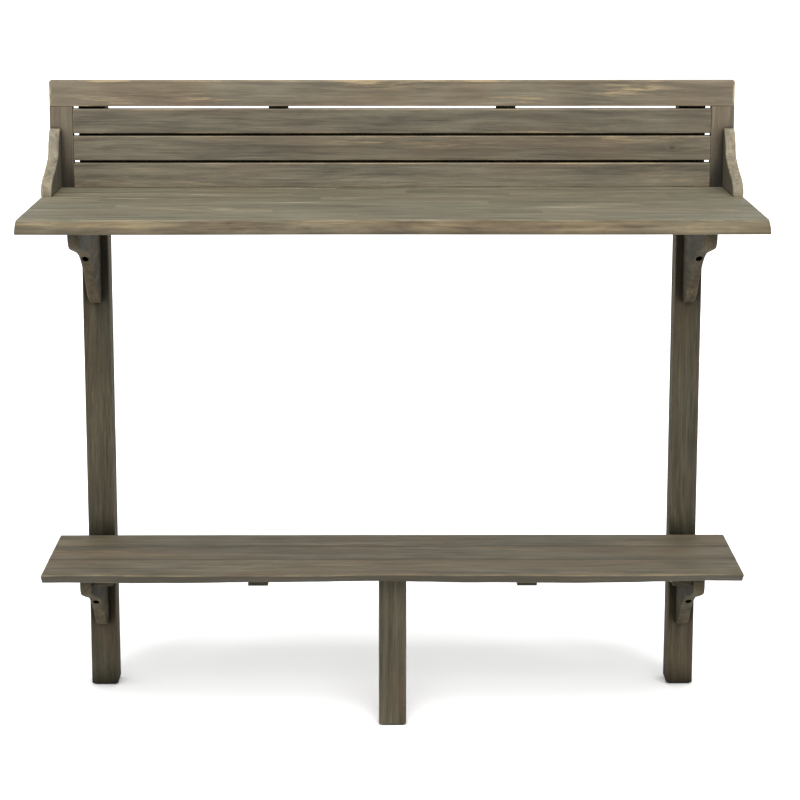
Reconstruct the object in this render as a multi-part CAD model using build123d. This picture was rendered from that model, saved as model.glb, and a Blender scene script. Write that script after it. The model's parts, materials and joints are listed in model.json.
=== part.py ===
from build123d import *
import math
import os

# A narrow potting bench of stained hardwood: a live-edge worktop with a slatted backsplash and two end
# brackets, a live-edge shelf near the floor, two rear posts, and one short leg under the shelf's front.
# Millimetres, +Z up. X runs along the bench and -Y points at the person who stands at it. The origin is on
# the floor, under the middle of the whole bench.

# Overall
BENCH_W = 1200.0
BENCH_D = 500.0
WORKTOP_TOP = 924.0
SHELF_TOP = 291.0
FRONT = -BENCH_D / 2
BACK = BENCH_D / 2
END = BENCH_W / 2
EASE = 1.5
GAP = 0.15

# Rear posts and centre leg
POST_W = 48.0
POST_D = 50.0
POST_X = 528.0
POST_TOP = 1102.0
POST_FRONT = BACK - POST_D
LEG_FRONT = -16.0
LEG_D = 48.0
PAD_T = 3.0
PAD_INSET = 5.0

# Worktop: edge-glued strips on cleats
STRIPS = 9
STRIP_W = (POST_FRONT - FRONT) / STRIPS
WORKTOP_T = 22.0
LIVE_SETBACK = 17.0
CLEAT_W = 35.0
CLEAT_T = 18.0
CLEAT_FRONT = -95.0
CLEAT_BACK = 195.0

# Shelf: three planks on battens
SHELF_T = 18.0
SHELF_FRONT = -75.0
SHELF_BACK = 181.0
PLANK_SEAMS = (23.0, 105.0)
SEAM = 1.0
UNDERCUT = 15.0
BATTEN_T = 15.0
BATTEN_FRONT = -28.0
INNER_BATTEN_X = 232.0

# Backsplash
SPLASH_T = 20.0
SPLASH_FRONT = POST_FRONT - SPLASH_T
SLAT_H = 43.0
SLAT_GAP = 4.5
SLATS = 3
TOP_RAIL_H = 45.5
STILE_W = 41.0
STIFFENER_X = 200.0
STIFFENER_T = 15.0

# Rails between the posts
RAIL_T = 25.0
UPPER_RAIL_Z = (930.0, 1040.0)
LOWER_RAIL_H = 60.0

# Brackets
BRACKET_T = 20.0
EAR_T = 19.0

# Fasteners: shank diameter, head diameter, head height
BOLT = (6.0, 11.0, 5.0)
SCREW = (4.0, 8.0, 3.0)
DOWEL_D = 8.0
DOWEL_L = 40.0
MOUTH_PLAY = 1.5

# Bracket bolts: height, how far in front of the post the head sits, length
UPPER_BOLT = (815.0, 80.0, 115.0)
LOWER_BOLT = (191.0, 60.0, 95.0)
BORE_OUT = 100.0

# The other fasteners: length, how deep the head is sunk, and where they stand
RAIL_BOLT_L = 85.0
RAIL_BOLT_SINK = 8.0
RAIL_BOLT_SHARES = (0.27, 0.73)
POST_SCREW_L = 46.0
POST_SCREW_SINK = 18.0
TOP_RAIL_SCREW_UP = 14.0
STIFFENER_SCREW_L = 28.0
STIFFENER_TOP_UP = 20.0
EAR_FOOT_SCREW_L = 45.0
EAR_FOOT_SCREWS = (40.0, 90.0)
EAR_BACK_SCREW_L = 36.0
EAR_BACK_SCREWS = (26.0, 74.0)
CLEAT_SCREW_L = 30.0
FIRST_CLEAT_STRIP = 3
SHELF_SCREW_L = 26.0
RAIL_SCREW_L = 34.0
SIDE_SCREW_L = 50.0
CLEAT_SIDE_YS = (-50.0, 100.0)
BATTEN_SIDE_YS = (-16.0, 100.0)
LEG_SCREW_L = 20.0
LEG_SCREW_BACK = 14.0
LEG_SCREW_SINK = 2.0

# Shapes of the live edges and the foot of each bracket
EDGE_SAMPLES = 40
TIGHT_EASE = 0.6
FOOT_LIP = 4.0
EAR_TOP = (8.0, 103.0)
EAR_LENGTH = 131.0
EAR_HEIGHT = 104.0

WORKTOP_UNDER = WORKTOP_TOP - WORKTOP_T
SHELF_UNDER = SHELF_TOP - SHELF_T
CLEAT_UNDER = WORKTOP_UNDER - CLEAT_T
BATTEN_UNDER = SHELF_UNDER - BATTEN_T
OUTER_BATTEN_X = POST_X - BRACKET_T / 2 - CLEAT_W / 2
TOP_RAIL_Z = WORKTOP_TOP + SLATS * (SLAT_H + SLAT_GAP)
SLAT_END = END - STILE_W
SIDES = (("left", -1), ("right", 1))


def board(x, y, z, ease=EASE):
    """A straight board between the low and high ends of each range, with eased edges."""
    size = Box(x[1] - x[0], y[1] - y[0], z[1] - z[0])
    placed = Pos((x[0] + x[1]) / 2, (y[0] + y[1]) / 2, (z[0] + z[1]) / 2) * size
    return fillet(placed.edges(), ease)


def centred(middle, width):
    """The range of a given width about its middle."""
    return (middle - width / 2, middle + width / 2)


def fastener(at, way, length, sizes, grow=0.0, socket=True):
    """A screw or bolt with its head's outer face at a point, running along way. Grown, it is its own hole."""
    shank_d, head_d, head_h = sizes
    bottom = (Align.CENTER, Align.CENTER, Align.MIN)
    solid = Cylinder(head_d / 2 + grow, head_h + grow, align=bottom)
    solid += Cylinder(shank_d / 2 + grow, length + grow, align=bottom)
    if socket:
        solid -= extrude(RegularPolygon(head_d / 4, 6), head_h / 2)
    return Plane(origin=at, z_dir=way) * solid


def drilled(piece, spots, sizes, sink=0.0):
    """The piece with a hole for each fastener, and a counterbore sink deep in front of each head."""
    for at, way, length in spots:
        piece -= fastener(at, way, length, sizes, GAP, socket=False)
        if sink > 0:
            start = tuple(a - w * sink for a, w in zip(at, way))
            bottom = (Align.CENTER, Align.CENTER, Align.MIN)
            mouth = Cylinder(sizes[1] / 2 + MOUTH_PLAY, sink, align=bottom)
            piece -= Plane(origin=start, z_dir=way) * mouth
    return piece


def group(spots, sizes):
    """All the fasteners of one kind, as separate solids in one node."""
    return Compound(children=[fastener(at, way, length, sizes) for at, way, length in spots])


def upright(outline, x_middle, thickness):
    """A board standing in a plane across the bench, from the edges of a closed outline in Y and Z."""
    face = Plane.YZ * make_face(outline)
    return Pos(x_middle, 0, 0) * extrude(face, thickness / 2, both=True)


# ---- Live edges

def worktop_lip(x):
    """How far the worktop's top front edge stands behind its bottom one."""
    sweep = 6.0 * (x / END) ** 2
    return LIVE_SETBACK + sweep + 1.8 * math.sin(x / 83 + 0.6) + 1.0 * math.sin(x / 31)


def worktop_foot(x):
    """The waviness of the worktop's bottom front edge."""
    return 1.0 + math.sin(x / 120 + 2.0)


def shelf_nose(x):
    """The waviness of the shelf's top front edge, which stands furthest out at the left end."""
    left = 4.0 * math.exp(-(((x + END) / 130) ** 2))
    return 1.0 - left + 2.2 * math.sin(x / 95 + 0.9) + 1.3 * math.sin(x / 41 + 2.0)


def shelf_undercut(x):
    """How far the shelf's bottom front edge stands behind its top one."""
    return UNDERCUT + 3.0 * math.sin(x / 110 + 2.6)


def live_board(back, front_low, front_high, low, high):
    """A board whose front edge follows one wavy line at its underside and another at its top."""
    levels = []
    for front, z in ((front_low, low), (front_high, high)):
        xs = [-END + BENCH_W * i / EDGE_SAMPLES for i in range(EDGE_SAMPLES + 1)]
        edge = Spline(*[(x, front(x), z) for x in xs])
        rest = Polyline((END, front(END), z), (END, back, z), (-END, back, z), (-END, front(-END), z))
        levels.append(make_face(Curve() + [edge, rest]))
    return loft(levels, ruled=True)


# ---- Fastener places: (head's outer face, direction, length)

BRACKET_BOLTS = []
for name, side in SIDES:
    for z, ahead, length in (UPPER_BOLT, LOWER_BOLT):
        BRACKET_BOLTS.append(((side * POST_X, POST_FRONT - ahead, z), (0, 1, 0), length))

LOWER_RAIL_Z = (BATTEN_UNDER - LOWER_RAIL_H, BATTEN_UNDER)
UPPER_RAIL_Y = (POST_FRONT + STIFFENER_T, POST_FRONT + STIFFENER_T + RAIL_T)
LOWER_RAIL_Y = (POST_FRONT, POST_FRONT + RAIL_T)
RAIL_BOLTS = []
for name, side in SIDES:
    for rail_y, rail_z in ((UPPER_RAIL_Y, UPPER_RAIL_Z), (LOWER_RAIL_Y, LOWER_RAIL_Z)):
        for share in RAIL_BOLT_SHARES:
            at = (
                side * (POST_X + POST_W / 2 - RAIL_BOLT_SINK),
                sum(rail_y) / 2,
                rail_z[0] + share * (rail_z[1] - rail_z[0]),
            )
            RAIL_BOLTS.append((at, (-side, 0, 0), RAIL_BOLT_L))

SLAT_MIDDLES = [WORKTOP_TOP + SLAT_H / 2 + (SLAT_H + SLAT_GAP) * i for i in range(SLATS)]
POST_SCREWS = []
for name, side in SIDES:
    for z in (SLAT_MIDDLES[0], SLAT_MIDDLES[2], TOP_RAIL_Z + TOP_RAIL_SCREW_UP):
        at = (side * POST_X, BACK - POST_SCREW_SINK, z)
        POST_SCREWS.append((at, (0, -1, 0), POST_SCREW_L))

STIFFENER_SCREWS = []
for name, side in SIDES:
    for z in SLAT_MIDDLES + [TOP_RAIL_Z + STIFFENER_TOP_UP]:
        at = (side * STIFFENER_X, POST_FRONT + STIFFENER_T, z)
        STIFFENER_SCREWS.append((at, (0, -1, 0), STIFFENER_SCREW_L))

EAR_X = END - EAR_T / 2
EAR_SCREWS = []
for name, side in SIDES:
    for ahead in EAR_FOOT_SCREWS:
        at = (side * EAR_X, SPLASH_FRONT - ahead, WORKTOP_UNDER)
        EAR_SCREWS.append((at, (0, 0, 1), EAR_FOOT_SCREW_L))
    for up in EAR_BACK_SCREWS:
        at = (side * EAR_X, POST_FRONT, WORKTOP_TOP + up)
        EAR_SCREWS.append((at, (0, -1, 0), EAR_BACK_SCREW_L))

CLEAT_XS = (-OUTER_BATTEN_X, -INNER_BATTEN_X, INNER_BATTEN_X, OUTER_BATTEN_X)
CLEAT_SCREWS = []
for x in CLEAT_XS:
    for i in range(FIRST_CLEAT_STRIP, STRIPS):
        at = (x, FRONT + STRIP_W * (i + 0.5), CLEAT_UNDER)
        CLEAT_SCREWS.append((at, (0, 0, 1), CLEAT_SCREW_L))

PLANK_EDGES = (SHELF_FRONT, *PLANK_SEAMS, SHELF_BACK)
SHELF_SCREW_YS = (0.0, sum(PLANK_SEAMS) / 2, (PLANK_SEAMS[1] + SHELF_BACK) / 2)
BATTEN_XS = (-OUTER_BATTEN_X, -INNER_BATTEN_X, 0.0, INNER_BATTEN_X, OUTER_BATTEN_X)
SHELF_SCREWS = []
RAIL_SCREWS = []
for x in BATTEN_XS:
    for y in SHELF_SCREW_YS[1:] if x == 0 else SHELF_SCREW_YS:
        SHELF_SCREWS.append(((x, y, BATTEN_UNDER), (0, 0, 1), SHELF_SCREW_L))
    if abs(x) != OUTER_BATTEN_X:
        at = (x, sum(LOWER_RAIL_Y) / 2, SHELF_UNDER)
        RAIL_SCREWS.append((at, (0, 0, -1), RAIL_SCREW_L))

HEAD_H = SCREW[2]
CLEAT_INNER = OUTER_BATTEN_X - CLEAT_W / 2
CLEAT_MIDDLE = CLEAT_UNDER + CLEAT_T / 2
BATTEN_MIDDLE = BATTEN_UNDER + BATTEN_T / 2
SIDE_SCREWS = []
for name, side in SIDES:
    for ys, z in ((CLEAT_SIDE_YS, CLEAT_MIDDLE), (BATTEN_SIDE_YS, BATTEN_MIDDLE)):
        for y in ys:
            at = (side * (CLEAT_INNER - HEAD_H), y, z)
            SIDE_SCREWS.append((at, (side, 0, 0), SIDE_SCREW_L))

LEG_SCREWS = []
for name, side in SIDES:
    out = POST_W / 2 + HEAD_H - LEG_SCREW_SINK
    at = (side * out, LEG_FRONT + LEG_D - LEG_SCREW_BACK, BATTEN_MIDDLE)
    LEG_SCREWS.append((at, (-side, 0, 0), LEG_SCREW_L))

DOWELS = []
for name, side in SIDES:
    for z in SLAT_MIDDLES:
        DOWELS.append(((side * (SLAT_END - DOWEL_L / 2), POST_FRONT - SPLASH_T / 2, z), (side, 0, 0)))
    upright_x = side * (END - STILE_W / 2)
    DOWELS.append(((upright_x, POST_FRONT - SPLASH_T / 2, TOP_RAIL_Z - DOWEL_L / 2), (0, 0, 1)))


def dowel(at, way, grow=0.0):
    """A round wooden peg, or with grow its socket."""
    peg = Cylinder(DOWEL_D / 2 + grow, DOWEL_L + 2 * grow, align=(Align.CENTER, Align.CENTER, Align.MIN))
    return Plane(origin=at, z_dir=way) * Pos(0, 0, -grow) * peg


def doweled(piece):
    """The piece with a socket for each dowel that reaches it."""
    for at, way in DOWELS:
        piece -= dowel(at, way, GAP)
    return piece


# ---- Sub-parts

def post(side):
    """A rear post: full height, on a pad, bored for the rails, the brackets and the backsplash."""
    piece = board(centred(side * POST_X, POST_W), (POST_FRONT, BACK), (PAD_T, POST_TOP))
    mine = [spot for spot in BRACKET_BOLTS + RAIL_BOLTS if spot[0][0] * side > 0]
    piece = drilled(piece, [spot for spot in mine if spot[1][1] == 1], BOLT)
    piece = drilled(piece, [spot for spot in mine if spot[1][0] != 0], BOLT, RAIL_BOLT_SINK)
    backs = [spot for spot in POST_SCREWS if spot[0][0] * side > 0]
    return drilled(piece, backs, SCREW, POST_SCREW_SINK)


def centre_leg():
    """The short front leg, notched at its top to take the end of the centre batten."""
    depth = (LEG_FRONT, LEG_FRONT + LEG_D)
    piece = board(centred(0, POST_W), depth, (PAD_T, SHELF_UNDER))
    notch = (depth[0] + depth[1]) / 2
    piece -= Pos(0, notch + LEG_D / 2, SHELF_UNDER - BATTEN_T / 2) * Box(CLEAT_W, LEG_D, BATTEN_T)
    return drilled(piece, LEG_SCREWS, SCREW)


def foot_pad(x, y):
    """A plastic glide, set in from the end of a leg."""
    size = (POST_W - 2 * PAD_INSET, POST_D - 2 * PAD_INSET)
    return board(centred(x, size[0]), centred(y, size[1]), (0, PAD_T), 0.8)


def between_posts(y, z):
    """A rail that joins the inner faces of the posts."""
    reach = POST_X - POST_W / 2
    return drilled(drilled(board((-reach, reach), y, z), RAIL_BOLTS, BOLT), RAIL_SCREWS, SCREW)


def worktop_strip(index):
    """One strip of the worktop, counted from the front. The first has the live edge."""
    front = FRONT + STRIP_W * index
    if index == 0:
        piece = live_board(
            front + STRIP_W,
            lambda x: FRONT + worktop_foot(x),
            lambda x: FRONT + worktop_foot(x) + worktop_lip(x),
            WORKTOP_UNDER,
            WORKTOP_TOP,
        )
    else:
        piece = board((-END, END), (front, front + STRIP_W), (WORKTOP_UNDER, WORKTOP_TOP), TIGHT_EASE)
    upward = [spot for spot in EAR_SCREWS + CLEAT_SCREWS if spot[1][2] == 1]
    mine = [spot for spot in upward if front < spot[0][1] < front + STRIP_W]
    return drilled(piece, mine, SCREW)


def cleat(x):
    """A cleat that crosses the strips under the worktop."""
    piece = board(centred(x, CLEAT_W), (CLEAT_FRONT, CLEAT_BACK), (CLEAT_UNDER, WORKTOP_UNDER))
    spots = [spot for spot in CLEAT_SCREWS if spot[0][0] == x]
    if abs(x) == OUTER_BATTEN_X:
        spots += [spot for spot in SIDE_SCREWS if spot[0][0] * x > 0 and spot[0][2] > SHELF_TOP]
    return drilled(piece, spots, SCREW)


def shelf_plank(index):
    """One plank of the shelf, counted from the front. The first has the live edge."""
    front = PLANK_EDGES[index] + (SEAM / 2 if index > 0 else 0)
    back = PLANK_EDGES[index + 1] - (SEAM / 2 if index < 2 else 0)
    if index == 0:
        piece = live_board(
            back,
            lambda x: SHELF_FRONT + shelf_nose(x) + shelf_undercut(x),
            lambda x: SHELF_FRONT + shelf_nose(x),
            SHELF_UNDER,
            SHELF_TOP,
        )
    else:
        piece = board((-END, END), (front, back), (SHELF_UNDER, SHELF_TOP))
    return drilled(piece, [spot for spot in SHELF_SCREWS if front < spot[0][1] < back], SCREW)


def batten(x):
    """A batten that crosses the planks under the shelf. The outer two butt against the posts, the others
    lie on the lower rail, and the centre one starts inside the leg's notch."""
    front = LEG_FRONT + LEG_D / 2 if x == 0 else BATTEN_FRONT
    back = POST_FRONT if abs(x) == OUTER_BATTEN_X else LOWER_RAIL_Y[1]
    piece = board(centred(x, CLEAT_W), (front, back), (BATTEN_UNDER, SHELF_UNDER))
    piece = drilled(piece, [spot for spot in SHELF_SCREWS + RAIL_SCREWS if spot[0][0] == x], SCREW)
    if x == 0:
        return drilled(piece, LEG_SCREWS, SCREW)
    if abs(x) == OUTER_BATTEN_X:
        low = [spot for spot in SIDE_SCREWS if spot[0][0] * x > 0 and spot[0][2] < SHELF_TOP]
        return drilled(piece, low, SCREW)
    return piece


def ogee_bracket(side, top, reach, nose, slope, lobe, foot):
    """A bracket board from a post's front face: a rounded nose, a cove, and a lobe that runs into the post.
    Each outline place is (distance in front of the post, height)."""
    def at(place):
        return (POST_FRONT - place[0], place[1])

    heel = at((FOOT_LIP, foot))
    edges = [
        Line(at((0, top)), at((reach, top))),
        Line(at((reach, top)), at((reach, nose))),
        Spline(at((reach, nose)), *[at(p) for p in slope], tangents=((0, -1), (1, -0.62))),
        Spline(at(slope[-1]), *[at(p) for p in lobe], heel, tangents=((1, -0.62), (1, -0.05))),
        Line(heel, at((0, foot))),
        Line(at((0, foot)), at((0, top))),
    ]
    return upright(edges, side * POST_X, BRACKET_T)


def finished_bracket(piece, side, low, high):
    """The bracket, bored for its post bolt and side screws."""
    bolts = [spot for spot in BRACKET_BOLTS if spot[0][0] * side > 0 and low < spot[0][2] < high]
    piece = drilled(piece, bolts, BOLT, BORE_OUT)
    screws = [spot for spot in SIDE_SCREWS if spot[0][0] * side > 0 and low < spot[0][2] < high]
    return drilled(piece, screws, SCREW)


def upper_bracket(side):
    """The bracket under the worktop."""
    slope = ((284, 858), (262, 849.5), (205, 837), (160, 825), (128, 809))
    lobe = ((100, 788), (78, 768), (62, 749), (44, 732), (24, 720))
    piece = ogee_bracket(side, WORKTOP_UNDER, 290, 872, slope, lobe, 714)
    return finished_bracket(piece, side, SHELF_TOP, WORKTOP_TOP)


def lower_bracket(side):
    """The bracket under the shelf."""
    slope = ((234, 246), (218, 238), (172, 221), (126, 204), (96, 186))
    lobe = ((74, 169), (56, 150), (40, 134), (20, 123))
    piece = ogee_bracket(side, SHELF_UNDER, 239, 258, slope, lobe, 118)
    return finished_bracket(piece, side, 0, SHELF_TOP)


def ear(side):
    """The S-curved end bracket that stands on the worktop and steadies the backsplash."""
    def at(place):
        return (SPLASH_FRONT - place[0], WORKTOP_TOP + place[1])

    upper = ((20, 90), (27, 80), (29, 70), (34, 61), (46, 53))
    lower = ((66, 44), (90, 35), (113, 27), (127, 17), (131, 7))
    toe = at((EAR_LENGTH, 0))
    edges = [
        Line(at((0, 0)), at((0, EAR_HEIGHT))),
        Line(at((0, EAR_HEIGHT)), at(EAR_TOP)),
        Spline(at(EAR_TOP), *[at(p) for p in upper + lower], toe, tangents=((-1, -0.4), (0, -1))),
        Line(toe, at((0, 0))),
    ]
    piece = upright(edges, side * EAR_X, EAR_T)
    return drilled(piece, [spot for spot in EAR_SCREWS if spot[0][0] * side > 0], SCREW)


def backsplash_rail():
    """The full-width top rail of the backsplash."""
    z = (TOP_RAIL_Z, TOP_RAIL_Z + TOP_RAIL_H)
    piece = doweled(board((-END, END), (SPLASH_FRONT, POST_FRONT), z, 2.0))
    return drilled(piece, [s for s in POST_SCREWS + STIFFENER_SCREWS if s[0][2] > TOP_RAIL_Z], SCREW)


def stile(side):
    """The upright at one end of the backsplash."""
    x = sorted((side * SLAT_END, side * END))
    piece = board(x, (SPLASH_FRONT, POST_FRONT), (WORKTOP_TOP, TOP_RAIL_Z))
    backs = [spot for spot in EAR_SCREWS if spot[0][0] * side > 0 and spot[1][1] == -1]
    return drilled(doweled(piece), backs, SCREW)


def slat(index):
    """One slat of the backsplash, counted from the worktop."""
    z = centred(SLAT_MIDDLES[index], SLAT_H)
    piece = doweled(board((-SLAT_END, SLAT_END), (SPLASH_FRONT, POST_FRONT), z))
    return drilled(piece, [s for s in POST_SCREWS + STIFFENER_SCREWS if z[0] < s[0][2] < z[1]], SCREW)


def stiffener(side):
    """The upright batten behind the slats."""
    y = (POST_FRONT, POST_FRONT + STIFFENER_T)
    piece = board(centred(side * STIFFENER_X, CLEAT_W), y, (WORKTOP_TOP + 6, POST_TOP - 2))
    return drilled(piece, [s for s in STIFFENER_SCREWS if s[0][0] * side > 0], SCREW)


nodes = {
    "centre_leg": centre_leg(),
    "upper_back_rail": between_posts(UPPER_RAIL_Y, UPPER_RAIL_Z),
    "lower_back_rail": between_posts(LOWER_RAIL_Y, LOWER_RAIL_Z),
    "backsplash_top_rail": backsplash_rail(),
    "foot_pad_centre": foot_pad(0, LEG_FRONT + LEG_D / 2),
}
for name, side in SIDES:
    nodes["post_" + name] = post(side)
    nodes["foot_pad_" + name] = foot_pad(side * POST_X, POST_FRONT + POST_D / 2)
    nodes["worktop_bracket_" + name] = upper_bracket(side)
    nodes["shelf_bracket_" + name] = lower_bracket(side)
    nodes["end_bracket_" + name] = ear(side)
    nodes["backsplash_stile_" + name] = stile(side)
    nodes["backsplash_batten_" + name] = stiffener(side)
for index in range(STRIPS):
    nodes["worktop_strip_%d" % (index + 1)] = worktop_strip(index)
for index, name in enumerate(("front", "middle", "back")):
    nodes["shelf_plank_" + name] = shelf_plank(index)
for index, name in enumerate(("lower", "middle", "upper")):
    nodes["backsplash_slat_" + name] = slat(index)
for index, x in enumerate(CLEAT_XS):
    nodes["worktop_cleat_%d" % (index + 1)] = cleat(x)
for index, x in enumerate(BATTEN_XS):
    nodes["shelf_batten_%d" % (index + 1)] = batten(x)

nodes["bracket_bolts"] = group(BRACKET_BOLTS, BOLT)
nodes["rail_bolts"] = group(RAIL_BOLTS, BOLT)
nodes["post_screws"] = group(POST_SCREWS, SCREW)
nodes["backsplash_batten_screws"] = group(STIFFENER_SCREWS, SCREW)
nodes["end_bracket_screws"] = group(EAR_SCREWS, SCREW)
nodes["worktop_cleat_screws"] = group(CLEAT_SCREWS, SCREW)
nodes["shelf_batten_screws"] = group(SHELF_SCREWS, SCREW)
nodes["bracket_side_screws"] = group(SIDE_SCREWS, SCREW)
nodes["leg_screws"] = group(LEG_SCREWS, SCREW)
nodes["lower_rail_screws"] = group(RAIL_SCREWS, SCREW)
nodes["backsplash_dowels"] = Compound(children=[dowel(at, way) for at, way in DOWELS])

os.makedirs("parts", exist_ok=True)
for name, shape in nodes.items():
    export_step(shape, "parts/%s.step" % name)
    print(name, "solids", len(shape.solids()), "volume", round(shape.volume))
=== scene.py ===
import json
import math
import random

import bmesh
import bpy
import numpy as np
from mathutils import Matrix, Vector, noise


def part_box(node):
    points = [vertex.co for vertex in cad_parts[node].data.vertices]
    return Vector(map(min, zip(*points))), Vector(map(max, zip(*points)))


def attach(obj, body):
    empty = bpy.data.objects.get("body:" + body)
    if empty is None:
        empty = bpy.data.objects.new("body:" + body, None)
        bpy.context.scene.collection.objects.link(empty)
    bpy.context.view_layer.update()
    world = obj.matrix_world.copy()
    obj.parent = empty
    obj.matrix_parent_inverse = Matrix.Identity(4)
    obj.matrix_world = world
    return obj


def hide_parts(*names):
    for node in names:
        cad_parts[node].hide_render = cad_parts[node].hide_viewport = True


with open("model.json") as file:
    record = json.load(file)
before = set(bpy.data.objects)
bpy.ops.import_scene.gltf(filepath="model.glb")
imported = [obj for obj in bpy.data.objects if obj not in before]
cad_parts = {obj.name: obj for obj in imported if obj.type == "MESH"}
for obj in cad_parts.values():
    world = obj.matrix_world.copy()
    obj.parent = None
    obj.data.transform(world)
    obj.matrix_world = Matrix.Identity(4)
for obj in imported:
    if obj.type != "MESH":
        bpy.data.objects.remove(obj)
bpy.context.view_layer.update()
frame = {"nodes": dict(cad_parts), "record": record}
NODES = frame["nodes"]
SLOTS = {part["node"]: part["material_slot"] for part in frame["record"]["subparts"]}

# The look of the potting bench: every wooden CAD piece is replaced by a denser board of the same size, with
# worn arrises and hand-finished live edges. Screws, bolts, dowels and pads stay as CAD made them. Metres,
# apart from the radii, depths and outlines that are given in millimetres and multiplied by MM.

MM = 0.001
AXES = {"X": (0, 1, 2), "Y": (1, 0, 2), "Z": (2, 0, 1)}
SIDES = (("left", -1), ("right", 1))
HALF_LENGTH = 600 * MM
WORKTOP_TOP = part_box("worktop_strip_2")[1].z

# Density of the meshes
PITCH = 11 * MM
SUPPORT = 1.5 * MM
OUTLINE_STEP = 3 * MM
RIMMED_STEP = 5 * MM
CAP_RIM = 0.9 * MM
ARC_STEPS = 4
PROFILE_STEPS = 2
BORE_SIDES = 28

# Finish of the boards: the radius at a glued seam, the unevenness of a face, and how wear and stain spread
TIGHT = 0.35 * MM
DENT = 0.22 * MM
SHARP = math.radians(50)
CAP_SIDES = 12
FULL_WEAR = math.radians(20)
CALM_REACH = 2 * MM
SEAM_REACH = 4 * MM


def clamp(value):
    """The value kept between 0 and 1."""
    return min(1.0, max(0.0, value))


def wave_noise(x, y, z, seed):
    """Smooth noise from -1 to 1, the same on each run."""
    return noise.noise(Vector((x, y, z + 37.7 * seed)))


# ---- Mesh building

def new_piece(name, verts, faces):
    """A mesh object with outward normals."""
    mesh = bpy.data.meshes.new(name)
    mesh.from_pydata([tuple(v) for v in verts], [], faces)
    work = bmesh.new()
    work.from_mesh(mesh)
    bmesh.ops.recalc_face_normals(work, faces=work.faces)
    if work.calc_volume(signed=True) < 0:
        bmesh.ops.reverse_faces(work, faces=work.faces)
    work.to_mesh(mesh)
    work.free()
    piece = bpy.data.objects.new(name, mesh)
    bpy.context.scene.collection.objects.link(piece)
    return piece


def loft(name, rows):
    """A closed tube through rings of points of equal count, capped at both ends."""
    count = len(rows[0])
    verts = [point for row in rows for point in row]
    faces = []
    for i in range(len(rows) - 1):
        for j in range(count):
            k = (j + 1) % count
            faces.append((i * count + j, i * count + k, (i + 1) * count + k, (i + 1) * count + j))
    last = (len(rows) - 1) * count
    faces.append(tuple(range(count)))
    faces.append(tuple(range(last, last + count)))
    return new_piece(name, verts, faces)


def flat_steps(width):
    """How many spans a flat side of about that width is divided into."""
    return max(1, round(width / PITCH))


def flat_points(a, b, steps):
    """Places strictly between two arc ends: a support point near each, and an even spread between."""
    a, b = Vector(a), Vector(b)
    length = (b - a).length
    support = min(SUPPORT, length / 4)
    marks = [support + (length - 2 * support) * i / steps for i in range(steps + 1)]
    return [tuple(a + (b - a) * (m / length)) for m in marks]


def rounded_section(low, high, radii, steps):
    """A rounded rectangle as a ring of (u, v), with a radius for each corner, anticlockwise from the low one,
    and its sides divided into as many steps along u and along v."""
    corners = (
        (low[0], low[1], 1, 1, 180),
        (high[0], low[1], -1, 1, 270),
        (high[0], high[1], -1, -1, 0),
        (low[0], high[1], 1, -1, 90),
    )
    arcs = []
    for (cu, cv, su, sv, start), r in zip(corners, radii):
        turns = [math.radians(start + 90 * i / ARC_STEPS) for i in range(ARC_STEPS + 1)]
        arcs.append([(cu + su * r + r * math.cos(t), cv + sv * r + r * math.sin(t)) for t in turns])
    ring = []
    for i, arc in enumerate(arcs):
        ring += arc
        ring += flat_points(arc[-1], arcs[(i + 1) % 4][0], steps[i % 2])
    return ring


def rounded_end(radius):
    """(how far in from the end, how much the section draws in) over a rounded arris, from the end inwards."""
    turns = [math.radians(90 * i / ARC_STEPS) for i in range(ARC_STEPS, -1, -1)]
    return [(radius * (1 - math.sin(turn)), radius * (1 - math.cos(turn))) for turn in turns]


def stations(low, high, end_radius):
    """(place along the board, how much the section draws in) from end to end, with rounded ends."""
    near = [(low + depth, inset) for depth, inset in rounded_end(end_radius)]
    first = low + end_radius + SUPPORT
    last = high - end_radius - SUPPORT
    steps = flat_steps(last - first)
    middle = [(first + (last - first) * i / steps, 0.0) for i in range(steps + 1)]
    far = [(low + high - s, inset) for s, inset in reversed(near)]
    return near + middle + far


def settle(piece, seed):
    """The faint unevenness that planing, sanding and weather leave on a board."""
    work = bmesh.new()
    work.from_mesh(piece.data)
    for vert in work.verts:
        x, y, z = vert.co
        slow = wave_noise(x * 6, y * 22, z * 22, seed)
        quick = wave_noise(x * 60, y * 75, z * 60, seed + 5)
        vert.co -= vert.normal * DENT * (0.5 + 0.5 * slow + 0.25 * quick)
    work.to_mesh(piece.data)
    work.free()


def board(node, axis, arris, end, seed, seams=(0, 0, 0, 0), ends=(1, 1, 1, 1)):
    """A straight board in the CAD node's box, its grain along axis, with the radii of its arrises and ends in
    millimetres. Seams marks the sides that are jointed tight, in the order low u, high u, low v, high v, and
    ends the sides that draw in at the board's ends."""
    low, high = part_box(node)
    along, u, v = AXES[axis]
    steps = (flat_steps(high[u] - low[u]), flat_steps(high[v] - low[v]))
    rows = []
    for s, inset in stations(low[along], high[along], end * MM):
        shift = [inset if share else inset * 0.15 for share in ends]
        lo = (low[u] + shift[0], low[v] + shift[2])
        hi = (high[u] - shift[1], high[v] - shift[3])
        radii = []
        for corner, (a, b) in enumerate(((0, 2), (1, 2), (1, 3), (0, 3))):
            slow = wave_noise(s * 9, corner * 3.1, 0, seed)
            quick = wave_noise(s * 55, corner * 7.7, 1, seed)
            worn = arris * MM * (1 + 0.45 * slow + 0.25 * quick)
            radii.append(TIGHT if seams[a] or seams[b] else worn)
        ring = []
        for cu, cv in rounded_section(lo, hi, radii, steps):
            place = [0.0, 0.0, 0.0]
            place[along], place[u], place[v] = s, cu, cv
            ring.append(place)
        rows.append(ring)
    piece = loft("wood_" + node, rows)
    settle(piece, seed)
    return piece


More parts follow.
